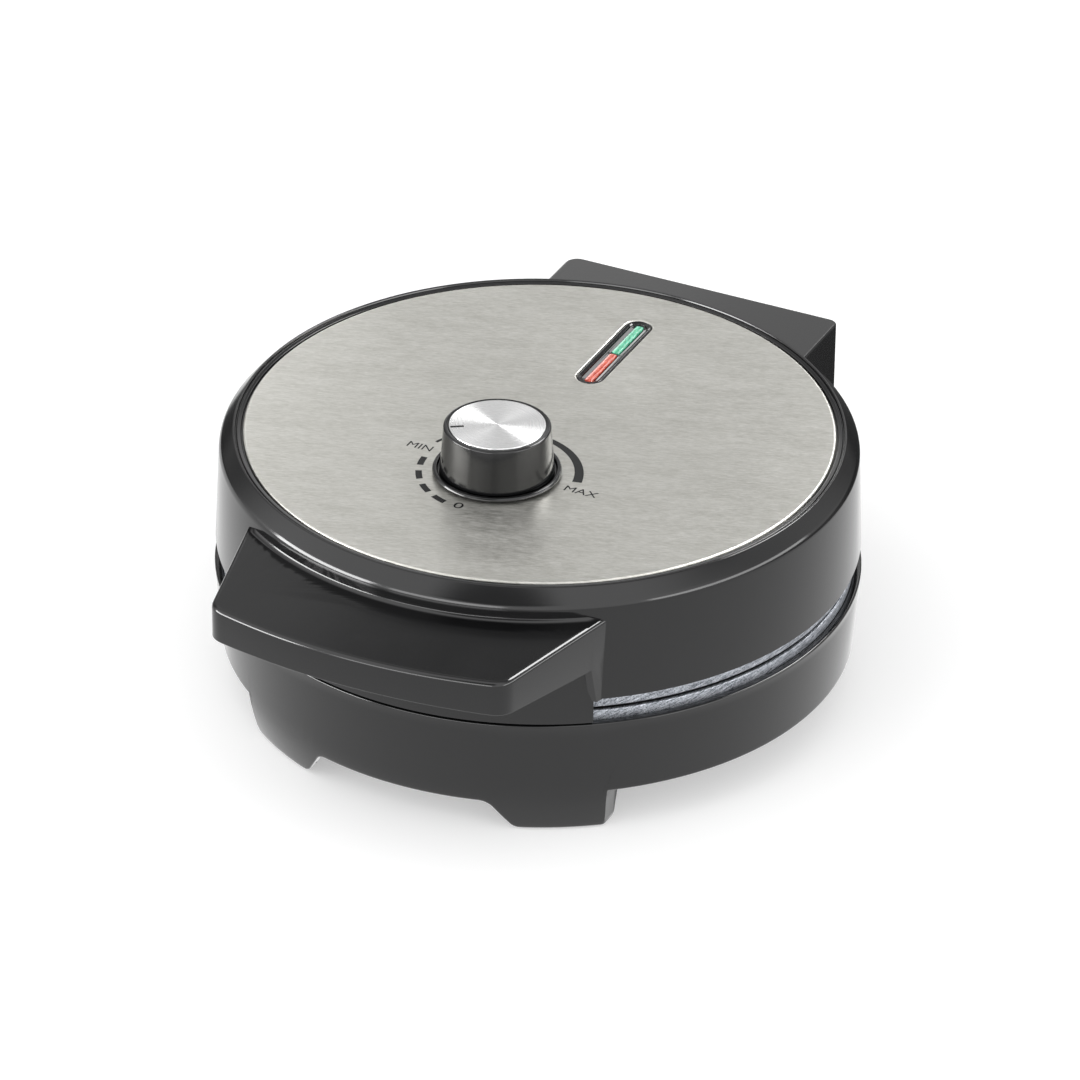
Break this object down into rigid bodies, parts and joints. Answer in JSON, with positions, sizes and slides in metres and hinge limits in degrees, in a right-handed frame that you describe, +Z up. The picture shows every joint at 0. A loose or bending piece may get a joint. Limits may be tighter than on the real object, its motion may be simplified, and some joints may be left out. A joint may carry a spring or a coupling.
{
  "type": "heart waffle maker",
  "caption": "Round countertop waffle maker with a hinged lid, a wide front handle, a steel top plate with knob and indicator lenses, and heart pockets inside.",
  "frame": {"origin": "centre of the bounding box, on the table under the feet", "axes": "+Z up, -Y towards the front with the handle, +Y towards the hinge, +X to the right of someone facing the back"},
  "size_m": [0.209, 0.2624, 0.1063],
  "materials": {
    "black_plastic": "semi-gloss moulded",
    "satin_black": "satin",
    "brushed_steel": "brushed along X",
    "cast_aluminium": "blasted casting",
    "spun_aluminium": "spun disc",
    "plated_steel": "zinc plated",
    "sheath_steel": "dull sheath",
    "rubber": "matte",
    "green_lens": "translucent",
    "red_lens": "translucent",
    "cream_plastic": "matte",
    "lamp_glass": "clear",
    "ceramic": "matte",
    "wire_sleeve": "woven glass sleeve"
  },
  "bodies": {
    "base": {"base_housing": "black_plastic", "lower_cooking_plate": "cast_aluminium", "lower_heating_element": "sheath_steel", "lower_heat_reflector": "plated_steel", "foot_pad_front_left": "rubber", "foot_pad_front_right": "rubber", "foot_pad_rear_left": "rubber", "foot_pad_rear_right": "rubber", "hinge_pin_left": "plated_steel", "hinge_pin_right": "plated_steel", "cord_gland": "rubber", "terminal_block": "cream_plastic", "lower_plate_screw_1": "plated_steel", "lower_plate_screw_2": "plated_steel", "lower_plate_screw_3": "plated_steel", "lower_plate_screw_4": "plated_steel", "base_live_lead": "wire_sleeve", "base_neutral_lead": "wire_sleeve"},
    "lid": {"lid_housing": "black_plastic", "lid_handle": "black_plastic", "handle_screw_left": "plated_steel", "handle_screw_right": "plated_steel", "steel_top_plate": "brushed_steel", "indicator_bezel": "black_plastic", "green_lens": "green_lens", "red_lens": "red_lens", "lamp_holder": "cream_plastic", "green_neon_lamp": "lamp_glass", "red_neon_lamp": "lamp_glass", "dial_collar": "black_plastic", "thermostat": "ceramic", "thermostat_bracket": "plated_steel", "thermal_fuse": "wire_sleeve", "upper_cooking_plate": "cast_aluminium", "upper_heating_element": "sheath_steel", "upper_heat_reflector": "plated_steel", "upper_plate_screw_1": "plated_steel", "upper_plate_screw_2": "plated_steel", "upper_plate_screw_3": "plated_steel", "upper_plate_screw_4": "plated_steel", "lid_live_lead": "wire_sleeve", "lid_neutral_lead": "wire_sleeve"},
    "knob": {"knob_body": "satin_black", "knob_cap": "spun_aluminium", "thermostat_shaft": "plated_steel"}
  },
  "joints": [
    {"name": "lid_hinge", "type": "hinge", "parent": "base", "child": "lid", "pos_m": [0, 0.11925, 0.0461], "axis": [-1, 0, 0], "range_deg": [0, 100]},
    {"name": "knob_turn", "type": "hinge", "parent": "lid", "child": "knob", "pos_m": [0, -0.02575, 0.0887], "axis": [0, 0, 1], "range_deg": [-211, 53]}
  ]
}
